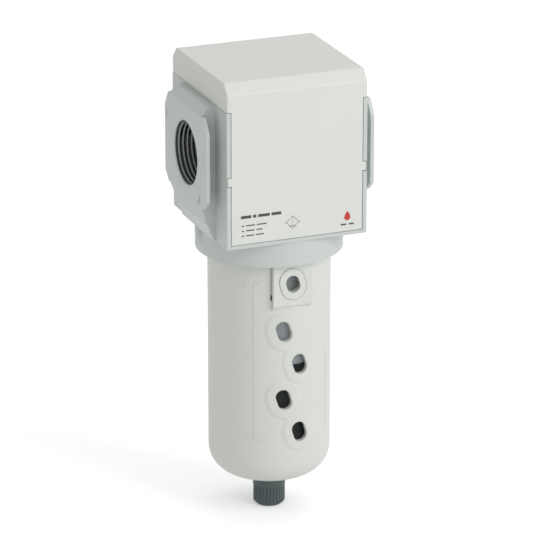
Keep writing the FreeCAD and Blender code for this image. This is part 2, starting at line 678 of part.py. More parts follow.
def bowl_lock():
    chamfer, rail_reach, rail_lift, rail_drop = 2.2, 1, 0.4, 1
    stop = D.slot_foot + D.lock_travel
    plate = along_x("lock_plate", [
        (D.lock_face, D.lock_top), (LOCK_BACK, D.lock_top), (LOCK_BACK, D.lock_foot),
        (D.lock_face + chamfer, D.lock_foot), (D.lock_face, D.lock_foot + chamfer)],
        AXIS - D.lock_half, AXIS + D.lock_half)
    rails = box("lock_rails", (AXIS - D.lock_half - rail_reach, AXIS + D.lock_half + rail_reach),
                (D.rail_front, D.rail_back), (stop + rail_lift, D.lock_top - rail_drop))
    boss_wide, boss_tall, boss_rise = D.window_wide + 6, D.window_tall + 5.5, 0.5
    bore_play, face_play, foot_play, eye_less = 0.15, 0.3, 0.3, 1.6
    boss = obround("lock_boss", AXIS, D.lock_eye, boss_wide, boss_tall,
                   D.lock_face - boss_rise, D.lock_face + OVERLAP, D.window_lean)
    behind = post("lock_behind", D.guard_bore + bore_play, D.lock_foot - OVERLAP,
                  D.lock_top + OVERLAP)
    below = post("lock_below", D.guard_rad + face_play, D.lock_foot - OVERLAP, stop + foot_play)
    eye = obround("lock_eye", AXIS, D.lock_eye, D.window_wide, D.window_tall - eye_less,
                  D.lock_face - OVERLAP * 2, LOCK_BACK, D.window_lean)
    pocket_half, pocket_tall, pocket_front, pocket_back = 1.35, 7.6, -30.9, -25
    pockets = []
    for name, side in (("left", -1), ("right", 1)):
        middle = AXIS + side * LOCK_SPRING_SIDE
        pockets.append(box(f"lock_{name}_pocket", (middle - pocket_half, middle + pocket_half),
                           (pocket_front, pocket_back),
                           (D.slot_foot, D.slot_foot + pocket_tall)))
    return node(cut("lock", fuse("lock_solid", plate, rails, boss), behind, below, eye, *pockets),
                "bowl_lock")


def lock_springs():
    radius, wire, turns, depth, end_play, tall = 0.85, 0.18, 7, -29.3, 0.1, 7.4
    foot = D.slot_foot + end_play
    pair = [spring(f"lock_{name}_spring", radius, wire, foot, foot + tall, turns,
                   AXIS + side * LOCK_SPRING_SIDE, depth)
            for name, side in (("left", -1), ("right", 1))]
    return node(fuse("lock_spring_pair", *pair), "lock_springs")


# ---------------------------------------------------------------- drain

def drain():
    """The stem through the bowls' floors with its seal and nut, and the valve inside it."""
    washer_thick, flange_thick, core_play = 1.4, 2.4, 0.1
    floor = D.bowl_foot + FLOOR_THICK
    flange_foot = floor + washer_thick
    seat = flange_foot + flange_thick
    washer_rad, flange_rad, way, chamber_rad, chamber_lift = 9.2, 9.5, 2.6, 4.2, 0.8
    chamber_roof = D.bowl_foot + chamber_lift
    stem_foot, step = D.knob_foot + 12.2, D.bowl_foot - 3.2
    node(tube("drain_washer", washer_rad, D.stem_rad + core_play, floor, flange_foot),
         "drain_gasket")
    node(turned("drain_core", [
        (chamber_rad, stem_foot), (D.spigot_rad, stem_foot), (D.spigot_rad, step),
        (D.stem_rad, step), (D.stem_rad, flange_foot), (flange_rad, flange_foot),
        (flange_rad, seat), (way, seat), (way, chamber_roof), (chamber_rad, chamber_roof)]),
        "drain_body")
    nut_corner, nut_drop, nut_tall, nut_play = 8.3, 3, 2.95, 0.05
    nut_foot = D.bowl_foot - nut_drop
    hexagon = doc.addObject("Part::RegularPolygon", "drain_hex")
    hexagon.Polygon = 6
    bind(hexagon, "Circumradius", nut_corner)
    put(hexagon, AXIS, 0, nut_foot)
    blank = doc.addObject("Part::Extrusion", "drain_hex_solid")
    blank.Base = hexagon
    blank.DirMode = "Custom"
    blank.Dir = FreeCAD.Vector(0, 0, 1)
    blank.Solid = True
    bind(blank, "LengthFwd", nut_tall)
    node(cut("drain_hex_nut", blank,
             post("drain_hex_bore", D.stem_rad + nut_play, nut_foot - OVERLAP,
                  nut_foot + nut_tall + OVERLAP)), "drain_nut")

    rod_rad, seal_thick, seal_play, head_rad, head_thick = 1.5, 0.9, 0.05, 4.2, 2
    head_foot = seat + seal_thick
    rod_below_hub, rod_in_head = 1.3, 1.1
    node(fuse("valve", post("valve_rod", rod_rad, D.hub_foot - rod_below_hub,
                            head_foot + rod_in_head),
              post("valve_head", head_rad, head_foot, head_foot + head_thick)), "drain_valve")
    seal_rad, coil_rad, coil_wire, coil_play, coil_turns = 3.8, 3.1, 0.4, 0.05, 6
    node(tube("valve_ring", seal_rad, D.hub_bore, seat + seal_play, head_foot),
         "drain_valve_seal")
    node(spring("drain_coil", coil_rad, coil_wire, D.hub_top + coil_play,
                chamber_roof - coil_play, coil_turns), "drain_spring")
    clip_rad, clip_thick, clip_play = 3.2, 0.8, 0.1
    clip_top = D.hub_foot - clip_play
    node(tube("clip", clip_rad, rod_rad, clip_top - clip_thick, clip_top), "knob_clip")


def drain_knob():
    """Fluted grip under a plain collar, with a G1/8 hose port in its foot."""
    thread_deep, turns, lead, share = 0.4, 4, 0.4, 0.5
    rings = thread_rings(D.drain_minor, D.drain_minor + thread_deep, D.knob_foot, D.drain_pitch,
                         turns, lead, share)
    spigot_play, undercut, undercut_foot = 0.06, 5.0, D.knob_foot + D.drain_run
    sleeve = D.spigot_rad + spigot_play
    foot_bevel, collar_band, collar_lip = 1.6, 2.6, 0.1
    knob = turned("knob_turned", [
        (D.hub_bore, D.hub_foot), (D.hub_bore, D.hub_top), (sleeve, D.hub_top),
        (sleeve, D.knob_top), (D.collar_rad, D.knob_top),
        (D.collar_rad, D.knob_top - collar_band), (D.knob_rad + collar_lip, D.knob_collar),
        (D.knob_rad, D.knob_collar), (D.knob_rad, D.knob_foot + foot_bevel),
        (D.knob_rad - foot_bevel, D.knob_foot), (D.drain_minor, D.knob_foot)]
        + rings + [(D.drain_minor, undercut_foot), (undercut, undercut_foot),
                   (undercut, D.hub_foot)])
    flute_count, flute_rad, flute_out, flute_end = 30, 0.42, 0.1, D.knob_collar - 0.1
    cutters = []
    for number in range(flute_count):
        angle = 2 * math.pi * number / flute_count
        reach = D.knob_rad + flute_out
        cutters.append(post(f"knob_flute_{number}", flute_rad, D.knob_foot - OVERLAP, flute_end,
                            AXIS + reach * math.cos(angle), reach * math.sin(angle)))
    way_count, way_rad, way_out = 4, 0.8, 3.0
    for number in range(way_count):
        angle = 2 * math.pi * (number + 0.5) / way_count
        cutters.append(post(f"knob_way_{number}", way_rad, D.hub_foot - OVERLAP,
                            D.hub_top + OVERLAP, AXIS + way_out * math.cos(angle),
                            way_out * math.sin(angle)))
    node(cut("knob", knob, *cutters), "drain_knob")


head_body()
top_cover()
vane_ring()
cartridge()
clear_bowl()
bowl_guard()
bowl_lock()
lock_springs()
drain()
drain_knob()
doc.recompute()

faults = []
for thing in doc.Objects:
    if "Invalid" in thing.State or "Error" in thing.State:
        faults.append(f"{thing.Name}: {thing.State}")
for thing in NODES:
    if thing.Shape.isNull() or not thing.Shape.isValid():
        faults.append(f"{thing.Label}: bad shape")
if faults:
    raise SystemExit("\n".join(faults))

os.makedirs("parts", exist_ok=True)
for thing in NODES:
    thing.Shape.exportStep(f"parts/{thing.Label}.step")
    print(f"{thing.Label:24s} solids {len(thing.Shape.Solids)} volume {thing.Shape.Volume:10.1f}")
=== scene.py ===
import math

import bpy
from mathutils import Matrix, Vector


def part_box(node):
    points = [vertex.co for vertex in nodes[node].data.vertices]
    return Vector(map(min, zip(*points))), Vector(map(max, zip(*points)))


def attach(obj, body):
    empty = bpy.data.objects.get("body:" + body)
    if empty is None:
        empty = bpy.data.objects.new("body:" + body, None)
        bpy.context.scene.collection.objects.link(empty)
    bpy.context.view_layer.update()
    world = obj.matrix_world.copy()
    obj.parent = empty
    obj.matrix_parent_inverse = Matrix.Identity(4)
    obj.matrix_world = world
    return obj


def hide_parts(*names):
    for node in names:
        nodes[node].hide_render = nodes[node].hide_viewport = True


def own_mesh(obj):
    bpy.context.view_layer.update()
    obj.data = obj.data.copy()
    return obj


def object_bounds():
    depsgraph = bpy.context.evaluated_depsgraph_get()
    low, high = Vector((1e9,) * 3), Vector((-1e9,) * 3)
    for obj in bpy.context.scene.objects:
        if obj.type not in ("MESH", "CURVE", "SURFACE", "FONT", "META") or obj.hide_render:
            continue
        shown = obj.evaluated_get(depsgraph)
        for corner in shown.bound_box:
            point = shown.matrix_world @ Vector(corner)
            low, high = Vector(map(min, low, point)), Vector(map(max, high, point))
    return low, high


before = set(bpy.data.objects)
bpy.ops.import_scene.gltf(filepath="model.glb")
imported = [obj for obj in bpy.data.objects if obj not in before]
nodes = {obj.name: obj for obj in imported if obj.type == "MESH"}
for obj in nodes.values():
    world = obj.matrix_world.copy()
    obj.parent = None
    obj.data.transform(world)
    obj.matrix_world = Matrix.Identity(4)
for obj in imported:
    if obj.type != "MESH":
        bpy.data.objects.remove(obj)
cad_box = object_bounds()
bpy.ops.object.select_all(action="DESELECT")

# ---------------------------------------------------------------- studio
# A pale sweep of floor under the drain knob, one broad soft light from the front right and
# a weaker one from above, and a long lens that looks down a little on the label side.
low, high = (Vector(corner) for corner in cad_box)
bowl_axis_x = (low.x + high.x) / 2
crossing = Vector((bowl_axis_x, 0.0, 0.0))
camera_turn = math.radians(-21.74)
camera_rise = math.radians(19.97)
camera_reach = 1.805
camera_drop = -0.064
camera_side = 0.0005
back = Vector((math.sin(camera_turn) * math.cos(camera_rise),
               -math.cos(camera_turn) * math.cos(camera_rise), math.sin(camera_rise)))
right = Vector((math.cos(camera_turn), math.sin(camera_turn), 0.0))
up = back.cross(right)
bpy.ops.object.camera_add(
    location=crossing + back * camera_reach + up * camera_drop + right * camera_side,
    rotation=(math.pi / 2 - camera_rise, 0.0, camera_turn))
camera = bpy.context.object
camera.data.lens = 240
camera.data.sensor_width = 36
camera.data.clip_end = 100
bpy.context.scene.camera = camera

bpy.ops.mesh.primitive_plane_add(size=40, location=(bowl_axis_x, 0, low.z))
floor = bpy.context.object
floor.name = "studio_floor"
floor_paint = bpy.data.materials.new("pale_floor")
floor_paint.use_nodes = True
floor_shader = floor_paint.node_tree.nodes["Principled BSDF"]
floor_shader.inputs["Base Color"].default_value = (0.96, 0.965, 0.97, 1)
floor_shader.inputs["Roughness"].default_value = 0.9
floor_shader.inputs["Specular IOR Level"].default_value = 0.1
floor_shader.inputs["Emission Color"].default_value = (1, 1, 1, 1)
floor_sight = floor_paint.node_tree.nodes.new("ShaderNodeLightPath")
floor_glow = floor_paint.node_tree.nodes.new("ShaderNodeMath")
floor_glow.operation = "MULTIPLY"
floor_glow.inputs[1].default_value = 0.30
floor_paint.node_tree.links.new(floor_sight.outputs["Is Camera Ray"], floor_glow.inputs[0])
floor_paint.node_tree.links.new(floor_glow.outputs["Value"],
                                floor_shader.inputs["Emission Strength"])
floor.data.materials.append(floor_paint)


def soft_light(name, place, size, watts):
    """A square soft box at place that looks at the middle of the object."""
    middle = (low + high) / 2
    aim = (middle - Vector(place)).to_track_quat("-Z", "Y")
    bpy.ops.object.light_add(type="AREA", location=place, rotation=aim.to_euler())
    lamp = bpy.context.object
    lamp.name = name
    lamp.data.shape = "SQUARE"
    lamp.data.size = size
    lamp.data.energy = watts


soft_light("front_right_box", (1.0, -1.5, 1.0), 1.0, 15.6)
soft_light("top_box", (0.5, 0.5, 1.8), 1.2, 6)
world = bpy.data.worlds.new("studio_air")
bpy.context.scene.world = world
world.use_nodes = True
world.node_tree.nodes["Background"].inputs["Color"].default_value = (1.0, 1.0, 0.985, 1)
world.node_tree.nodes["Background"].inputs["Strength"].default_value = 0.58
bpy.context.scene.view_settings.view_transform = "Standard"

# ---------------------------------------------------------------- head casting
# The square head with its two ports, clamp flanges and neck ring, die-cast in aluminium and
# sprayed with a bluish grey paint whose edges stay soft. The ports are tapped after casting.
head_edge = 0.0011
rim_edge = 0.00022
neck_edge = 0.0011
mouth_edge = 0.00012


def open_edit(piece, modes=("EDGE",)):
    """Opens a piece alone in edit mode, with the given kinds of selection."""
    bpy.ops.object.select_all(action="DESELECT")
    bpy.context.view_layer.objects.active = piece
    piece.select_set(True)
    bpy.ops.object.mode_set(mode="EDIT")
    bpy.context.tool_settings.mesh_select_mode = tuple(
        kind in modes for kind in ("VERT", "EDGE", "FACE"))


def close_edit():
    bpy.ops.object.mode_set(mode="OBJECT")


def merged_copy(node, name):
    """A copy of a design node, its loose triangles joined back into whole faces."""
    piece = bpy.data.objects.new(name, nodes[node].data.copy())
    bpy.context.scene.collection.objects.link(piece)
    piece.data.materials.clear()
    open_edit(piece)
    bpy.ops.mesh.select_all(action="SELECT")
    bpy.ops.mesh.remove_doubles(threshold=2e-6)
    bpy.ops.mesh.dissolve_limited(angle_limit=math.radians(0.5))
    bpy.ops.mesh.select_all(action="DESELECT")
    close_edit()
    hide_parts(node)
    return piece


def bevel_where(piece, wanted, width, segments=3, least=25, convex=True):
    """Bevels the sharp edges whose middle passes the test; convex ones only if asked."""
    mesh = piece.data
    sides = {}
    for face in mesh.polygons:
        for key in face.edge_keys:
            sides.setdefault(key, []).append(face)
    for thing in (mesh.vertices, mesh.edges, mesh.polygons):
        thing.foreach_set("select", [False] * len(thing))
    for edge in mesh.edges:
        pair = sides.get(tuple(sorted(edge.vertices)), ())
        if len(pair) != 2 or pair[0].normal.angle(pair[1].normal, 0) < math.radians(least):
            continue
        first, second = (mesh.vertices[v].co for v in edge.vertices)
        middle = (first + second) / 2
        # The far face's own plane lies below the near face's on an outer corner.
        inward = (pair[0].normal + pair[1].normal).dot(
            (pair[0].center - middle).normalized() + (pair[1].center - middle).normalized())
        if convex and inward > 0:
            continue
        edge.select = wanted(middle)
    open_edit(piece)
    bpy.ops.mesh.bevel(offset=width, offset_type="OFFSET", segments=segments, profile=0.5,
                       clamp_overlap=True, affect="EDGES")
    close_edit()


def finish_mesh(piece, body, material, angle=35):
    """Smooth shading, the finish, and the body that the piece rides on."""
    open_edit(piece)
    bpy.ops.mesh.select_all(action="SELECT")
    bpy.ops.mesh.normals_make_consistent(inside=False)
    bpy.ops.mesh.select_all(action="DESELECT")
    close_edit()
    bpy.ops.object.shade_smooth_by_angle(angle=math.radians(angle))
    even = piece.modifiers.new("even_normals", "WEIGHTED_NORMAL")
    even.keep_sharp = True
    bpy.ops.object.modifier_apply(modifier=even.name)
    piece.data.materials.clear()
    piece.data.materials.append(material)
    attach(piece, body)
    return piece


def node_group(name, inputs, outputs):
    """An empty shader node group with float or vector sockets; returns it and its two ends."""
    group = bpy.data.node_groups.new(name, "ShaderNodeTree")
    for label, kind, value in inputs:
        socket = group.interface.new_socket(name=label, in_out="INPUT", socket_type=kind)
        if value is not None:
            socket.default_value = value
    for label, kind in outputs:
        group.interface.new_socket(name=label, in_out="OUTPUT", socket_type=kind)
    return group, group.nodes.new("NodeGroupInput"), group.nodes.new("NodeGroupOutput")


# Fine grain for the bump, and a slow drift of tone, as a mould or a spray gun leaves them.
skin, skin_in, skin_out = node_group(
    "moulded_skin",
    [("Vector", "NodeSocketVector", None), ("Grain", "NodeSocketFloat", 2500.0),
     ("Drift", "NodeSocketFloat", 35.0)],
    [("Height", "NodeSocketFloat"), ("Tone", "NodeSocketFloat")])
grain = skin.nodes.new("ShaderNodeTexNoise")
grain.inputs["Detail"].default_value = 3
drift = skin.nodes.new("ShaderNodeTexNoise")
drift.inputs["Detail"].default_value = 4
skin.links.new(skin_in.outputs["Vector"], grain.inputs["Vector"])
skin.links.new(skin_in.outputs["Grain"], grain.inputs["Scale"])
skin.links.new(skin_in.outputs["Vector"], drift.inputs["Vector"])
skin.links.new(skin_in.outputs["Drift"], drift.inputs["Scale"])
skin.links.new(grain.outputs["Fac"], skin_out.inputs["Height"])
skin.links.new(drift.outputs["Fac"], skin_out.inputs["Tone"])

# Sparse dull patches where hands and dust have been, for the roughness only.
marks, marks_in, marks_out = node_group(
    "handling_marks",
    [("Vector", "NodeSocketVector", None), ("Spread", "NodeSocketFloat", 18.0)],
    [("Mask", "NodeSocketFloat")])
smudge = marks.nodes.new("ShaderNodeTexNoise")
smudge.inputs["Detail"].default_value = 6
smudge.inputs["Roughness"].default_value = 0.7
sparse = marks.nodes.new("ShaderNodeMapRange")
sparse.inputs["From Min"].default_value = 0.55
sparse.inputs["From Max"].default_value = 0.75
marks.links.new(marks_in.outputs["Vector"], smudge.inputs["Vector"])
marks.links.new(marks_in.outputs["Spread"], smudge.inputs["Scale"])
marks.links.new(smudge.outputs["Fac"], sparse.inputs["Value"])
marks.links.new(sparse.outputs["Result"], marks_out.inputs["Mask"])


def satin(name, light, dark, gloss, dull, grain_scale, depth, metallic=0.0, drift_scale=35.0):
    """A moulded, painted or metal surface: two near tones, uneven gloss and a fine grain."""
    material = bpy.data.materials.new(name)
    material.use_nodes = True
    tree = material.node_tree
    shader = tree.nodes["Principled BSDF"]
    shader.inputs["Metallic"].default_value = metallic
    place = tree.nodes.new("ShaderNodeTexCoord")
    surface = tree.nodes.new("ShaderNodeGroup")
    surface.node_tree = skin
    surface.inputs["Grain"].default_value = grain_scale
    surface.inputs["Drift"].default_value = drift_scale
    touched = tree.nodes.new("ShaderNodeGroup")
    touched.node_tree = marks
    tree.links.new(place.outputs["Object"], surface.inputs["Vector"])
    tree.links.new(place.outputs["Object"], touched.inputs["Vector"])
    tone = tree.nodes.new("ShaderNodeMix")
    tone.data_type = "RGBA"
    tone.inputs["A"].default_value = (*light, 1)
    tone.inputs["B"].default_value = (*dark, 1)
    tree.links.new(surface.outputs["Tone"], tone.inputs["Factor"])
    tree.links.new(tone.outputs["Result"], shader.inputs["Base Color"])
    rough = tree.nodes.new("ShaderNodeMapRange")
    rough.inputs["To Min"].default_value = gloss
    rough.inputs["To Max"].default_value = dull
    tree.links.new(touched.outputs["Mask"], rough.inputs["Value"])
    tree.links.new(rough.outputs["Result"], shader.inputs["Roughness"])
    bump = tree.nodes.new("ShaderNodeBump")
    bump.inputs["Strength"].default_value = 0.5
    bump.inputs["Distance"].default_value = depth
    tree.links.new(surface.outputs["Height"], bump.inputs["Height"])
    tree.links.new(bump.outputs["Normal"], shader.inputs["Normal"])
    return material


head_paint = satin("cast_head_paint", (0.60, 0.645, 0.625), (0.575, 0.62, 0.60),
                   0.32, 0.44, 900, 0.00002)
head_box = [Vector(corner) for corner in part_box("head_body")]
near = 0.0002
body_half_x = 0.03725
body_half_y = 0.0380
block_top_z, block_foot_z = 0.030, -0.0400
rim_foot_z, rim_half = -0.0395, 0.0372
port_reach, thread_start = 0.0175, 0.025
neck_rad, neck_chamfer, neck_foot_z = 0.0376, 0.0005, -0.0533


def from_port_axis(point):
    return math.hypot(point.y, point.z)


def from_bowl_axis(point):
    return math.hypot(point.x - bowl_axis_x, point.y)


def on_side_face(point):
    return abs(abs(point.x - bowl_axis_x) - body_half_x) < near


def on_label_face(point):
    """On the plane of the front or the rear panel."""
    return abs(abs(point.y) - body_half_y) < near


def on_flange(point):
    return abs(point.x - bowl_axis_x) > body_half_x + near and from_port_axis(point) > port_reach


def on_block_edge(point):
    return on_side_face(point) and on_label_face(point) and point.z < block_top_z


def on_block_foot(point):
    return on_label_face(point) and point.z < block_foot_z


def on_panel_rim(point):
    between = rim_foot_z < point.z < block_top_z and abs(point.x - bowl_axis_x) < rim_half
    return on_label_face(point) and between


def on_neck_foot(point):
    return abs(point.z - neck_foot_z) < near and from_bowl_axis(point) > neck_rad - neck_chamfer


def on_port_mouth(point):
    return from_port_axis(point) < port_reach and abs(point.x - bowl_axis_x) > thread_start


head = merged_copy("head_body", "head_casting")
bevel_where(head, lambda p: on_flange(p) or on_block_edge(p) or on_block_foot(p), head_edge)
bevel_where(head, on_neck_foot, neck_edge, 4)
bevel_where(head, on_panel_rim, rim_edge, 2)
bevel_where(head, on_port_mouth, mouth_edge, 1)

# The die leaves a short tick at the top of each port face and a small cross near its foot.
mark_deep, mark_wide = 0.0005, 0.0010
tick_y, tick_z, tick_tall = 0.0262, 0.0130, 0.0038
cross_y, cross_z, cross_tall, cross_turn = -0.0190, -0.0185, 0.0044, math.radians(32)


def cut_away(piece, cutter):
    """Takes the cutter's space out of the piece, and the cutter out of the scene."""
    bpy.ops.object.select_all(action="DESELECT")
    bpy.context.view_layer.objects.active = piece
    opening = piece.modifiers.new("opening", "BOOLEAN")
    opening.operation = "DIFFERENCE"
    opening.solver = "EXACT"
    opening.object = cutter
    bpy.ops.object.modifier_apply(modifier=opening.name)
    bpy.data.objects.remove(cutter)


def stroke_cutter(face, along, height, tall, turn=0.0):
    """A shallow stroke sunk in a port face; along is its place across the flange."""
    bpy.ops.object.select_all(action="DESELECT")
    bpy.ops.mesh.primitive_cube_add(size=1, location=(face, along, height),
                                    rotation=(turn, 0, 0), scale=(mark_deep * 2, mark_wide, tall))
    bpy.ops.object.transform_apply(location=True, rotation=True, scale=True)
    return bpy.context.object


for face in (head_box[0].x, head_box[1].x):
    cut_away(head, stroke_cutter(face, tick_y, tick_z, tick_tall))
    for turn in (cross_turn, -cross_turn):
        cut_away(head, stroke_cutter(face, cross_y, cross_z, cross_tall, turn))
finish_mesh(head, "head", head_paint)

# The taps cut through the paint, so the thread's grooves and the duct behind the thread are bare
# metal; their near-black colour is painted shade, the shade deep inside the port.
tapped_metal_painted_shade = satin("tapped_metal_painted_shade", (0.050, 0.056, 0.055), (0.032, 0.037, 0.036), 0.40, 0.55,
                     1500, 0.00002, 0.6)
thread_root, thread_crest, crest_flat = 0.0166, 0.01515, 0.00008
mouth_lip, thread_end, duct_end = 0.0008, 0.0150, 0.0400
wall_slack = 0.0001
head.data.materials.append(tapped_metal_painted_shade)
# Faces in the thread's grooves and in the duct behind the thread take the near-black painted shade.
for face in head.data.polygons:
    off_axis = from_port_axis(face.center)
    deep = min(face.center.x - low.x, high.x - face.center.x)
    in_groove = thread_crest + crest_flat < off_axis < thread_root + wall_slack
    behind_thread = off_axis < thread_crest + wall_slack and thread_end < deep < duct_end
    if in_groove and deep > mouth_lip or behind_thread:
        face.material_index = 1

# ---------------------------------------------------------------- hood
# The hood over the head's top, front and back, one injection moulding in light grey plastic
# with a very fine texture. Four latches on the panels' sides click into the casting.
hood_edge = 0.0009
hood_foot_edge = 0.0002
hood_plastic = satin("hood_plastic", (0.745, 0.755, 0.72), (0.72, 0.73, 0.695),
                     0.46, 0.56, 3200, 0.000015)
hood_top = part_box("top_cover")[1].z
hood_slope, hood_skirt_z, hood_reach = 0.0054, 0.031, 0.030


def on_hood_outside(point):
    slope_end = abs(point.z - hood_top) < near or abs(point.z - hood_top + hood_slope) < near
    outside = on_side_face(point) or slope_end
    return point.z > hood_skirt_z and outside and from_port_axis(point) > hood_reach


def on_hood_foot(point):
    return point.z <= hood_skirt_z and on_label_face(point)


hood = merged_copy("top_cover", "hood_shell")
bevel_where(hood, on_hood_outside, hood_edge, 4, 20)
bevel_where(hood, on_hood_foot, hood_foot_edge, 2)
finish_mesh(hood, "head", hood_plastic)

# ---------------------------------------------------------------- bowl guard
# The outer bowl, moulded in tough light grey plastic. Raised lands stiffen it round the four
# slanted sight windows, and three lugs at the top turn into the head's bayonet.
guard_low, guard_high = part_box("bowl_guard")
guard_rad, guard_bore = 0.0313, 0.0290
guard_foot_z, guard_top_z = guard_low.z, guard_high.z
foot_round = 0.0140
foot_hole = 0.0094
guard_wall = guard_rad - guard_bore
window_wide, window_tall, window_lean = 0.0072, 0.0108, math.radians(17)
window_side, window_first, window_step, window_count = 0.0042, -0.0902, 0.0184, 4
land_rise, land_border, land_fade, land_blend = 0.0005, 0.0048, 0.0011, 0.0030
land_top, land_foot = -0.0770, -0.1600
lug_top, lug_foot = -0.0440, -0.0470
rows, turns, arc_steps = 150, 288, 12
guard_plastic = satin("guard_plastic", (0.715, 0.73, 0.69), (0.69, 0.705, 0.665),
                      0.34, 0.46, 1800, 0.00001)
window_places = [(window_side * (1 if number % 2 else -1), window_first - window_step * number)
                 for number in range(window_count)]


def window_distance(x, z, place):
    """How far outside a window's edge a point lies, in the window's own lean."""
    across, along = x - place[0], z - place[1]
    turned_x = across * math.cos(window_lean) + along * math.sin(window_lean)
    turned_z = along * math.cos(window_lean) - across * math.sin(window_lean)
    straight = (window_tall - window_wide) / 2
    past = max(abs(turned_z) - straight, 0.0)
    return math.hypot(turned_x, past) - window_wide / 2


def land_height(x, z):
    """Rise of the two pairs of lands; a pair's two outlines flow into one another."""
    nearest = 1.0
    for first in (0, 2):
        one = window_distance(x, z, window_places[first])
        other = window_distance(x, z, window_places[first + 1])
        overlap = max(land_blend - abs(one - other), 0.0) / land_blend
        pair = min(one, other) - overlap * overlap * land_blend / 4
        nearest = min(nearest, pair)
    share = min(max((land_border - nearest) / land_fade + 0.5, 0.0), 1.0)
    return land_rise * share * share * (3 - 2 * share)


def arc(centre_r, centre_z, radius, start, end, steps):
    """Points along an arc of the profile, each a radius and a height."""
    return [(centre_r + radius * math.cos(start + (end - start) * step / steps),
             centre_z + radius * math.sin(start + (end - start) * step / steps))
            for step in range(steps + 1)]


profile = [(guard_bore, guard_top_z), (guard_rad, guard_top_z), (guard_rad, lug_top),
           (guard_rad, lug_foot), (guard_rad, neck_foot_z)]
profile += [(guard_rad, land_top + (land_foot - land_top) * row / rows)
            for row in range(rows + 1)]
profile += arc(guard_rad - foot_round, guard_foot_z + foot_round, foot_round, 0, -math.pi / 2,
               arc_steps)
profile += [(foot_hole, guard_foot_z), (foot_hole, guard_foot_z + guard_wall)]
profile += arc(guard_rad - foot_round, guard_foot_z + foot_round, foot_round - guard_wall,
               -math.pi / 2, 0, arc_steps)
guard_mesh = bpy.data.meshes.new("guard_shell")
guard_mesh.from_pydata([(bowl_axis_x, -radius, height) for radius, height in profile],
                       [(index, (index + 1) % len(profile)) for index in range(len(profile))], [])
guard = bpy.data.objects.new("guard_shell", guard_mesh)
bpy.context.scene.collection.objects.link(guard)
open_edit(guard)
bpy.ops.mesh.select_all(action="SELECT")
bpy.ops.mesh.spin(steps=turns, dupli=False, angle=2 * math.pi, center=(bowl_axis_x, 0, 0),
                  axis=(0, 0, 1))
bpy.ops.mesh.select_all(action="SELECT")
bpy.ops.mesh.remove_doubles(threshold=1e-6)
bpy.ops.mesh.normals_make_consistent(inside=False)
bpy.ops.mesh.select_all(action="DESELECT")
close_edit()
for corner in guard.data.vertices:
    out = Vector((corner.co.x - bowl_axis_x, corner.co.y))
    on_skin = abs(out.length - guard_rad) < 1e-5 and corner.co.y < 0
    if on_skin and land_foot < corner.co.z < land_top:
        rise = land_height(corner.co.x - bowl_axis_x, corner.co.z)
        out *= (guard_rad + rise) / guard_rad
        corner.co.x, corner.co.y = bowl_axis_x + out.x, out.y

# The lugs are drawn out of the band between two rings of the profile.
lug_count, lug_start, lug_angle, lug_out = 3, 32, 28, 0.0029
for thing in (guard.data.vertices, guard.data.edges, guard.data.polygons):
    thing.foreach_set("select", [False] * len(thing))
for face in guard.data.polygons:
    middle = face.center
    angle = math.degrees(math.atan2(middle.y, middle.x - bowl_axis_x)) % (360 / lug_count)
    on_band = lug_foot < middle.z < lug_top and from_bowl_axis(middle) > guard_rad - near
    face.select = on_band and lug_start < angle < lug_start + lug_angle
open_edit(guard, ("FACE",))
bpy.ops.mesh.extrude_region_shrink_fatten(TRANSFORM_OT_shrink_fatten={"value": lug_out})
bpy.ops.mesh.select_all(action="DESELECT")
close_edit()


def window_cutter(name, place, rings, points_round, curved=True):
    """A closed cutter through leaning window outlines, one per (depth, growth) ring.

    On the curved guard a depth is taken from the bowl's axis; otherwise it is a plain Y."""
    straight = (window_tall - window_wide) / 2
    points = []
    for depth, growth in rings:
        for step in range(points_round):
            turn = 2 * math.pi * step / points_round
            radius = window_wide / 2 + growth
            local_x = radius * math.cos(turn)
            local_z = radius * math.sin(turn) + math.copysign(straight, math.sin(turn))
            x = place[0] + local_x * math.cos(window_lean) - local_z * math.sin(window_lean)
            z = place[1] + local_x * math.sin(window_lean) + local_z * math.cos(window_lean)
            y = -math.sqrt(depth ** 2 - x ** 2) if curved else depth
            points.append((bowl_axis_x + x, y, z))
    faces = [tuple(range(points_round)),
             tuple(reversed(range(len(points) - points_round, len(points))))]
    for ring in range(len(rings) - 1):
        for step in range(points_round):
            beside = (step + 1) % points_round
            faces.append((ring * points_round + step, (ring + 1) * points_round + step,
                          (ring + 1) * points_round + beside, ring * points_round + beside))
    mesh = bpy.data.meshes.new(name)
    mesh.from_pydata(points, [], faces)
    cutter = bpy.data.objects.new(name, mesh)
    bpy.context.scene.collection.objects.link(cutter)
    open_edit(cutter)
    bpy.ops.mesh.select_all(action="SELECT")
    bpy.ops.mesh.normals_make_consistent(inside=False)
    close_edit()
    return cutter


# Each window's rim is rounded over, out to the land's face. The cutter starts in the bore and
# ends clear of the land.
rim_round, rim_steps, rim_points = 0.0008, 6, 48
cutter_start, cutter_past = 0.0260, 0.0020
skin_rad = guard_rad + land_rise
rim_rings = [(cutter_start, 0.0)]
for step in range(rim_steps + 1):
    swing = math.pi / 2 * step / rim_steps
    rim_rings.append((skin_rad - rim_round + rim_round * math.sin(swing),
                      rim_round * (1 - math.cos(swing))))
rim_rings.append((skin_rad + cutter_past, rim_round))
for number, place in enumerate(window_places):
    cut_away(guard, window_cutter(f"window_cutter_{number}", place, rim_rings, rim_points))


def box_cutter(name, half_x, y, z):
    """A box about the bowl's middle plane, between two depths and two heights."""
    bpy.ops.object.select_all(action="DESELECT")
    spans = ((bowl_axis_x - half_x, bowl_axis_x + half_x), y, z)
    bpy.ops.mesh.primitive_cube_add(size=1, location=[sum(span) / 2 for span in spans],
                                    scale=[span[1] - span[0] for span in spans])
    block = bpy.context.object
    block.name = name
    bpy.ops.object.transform_apply(location=True, rotation=True, scale=True)
    return block


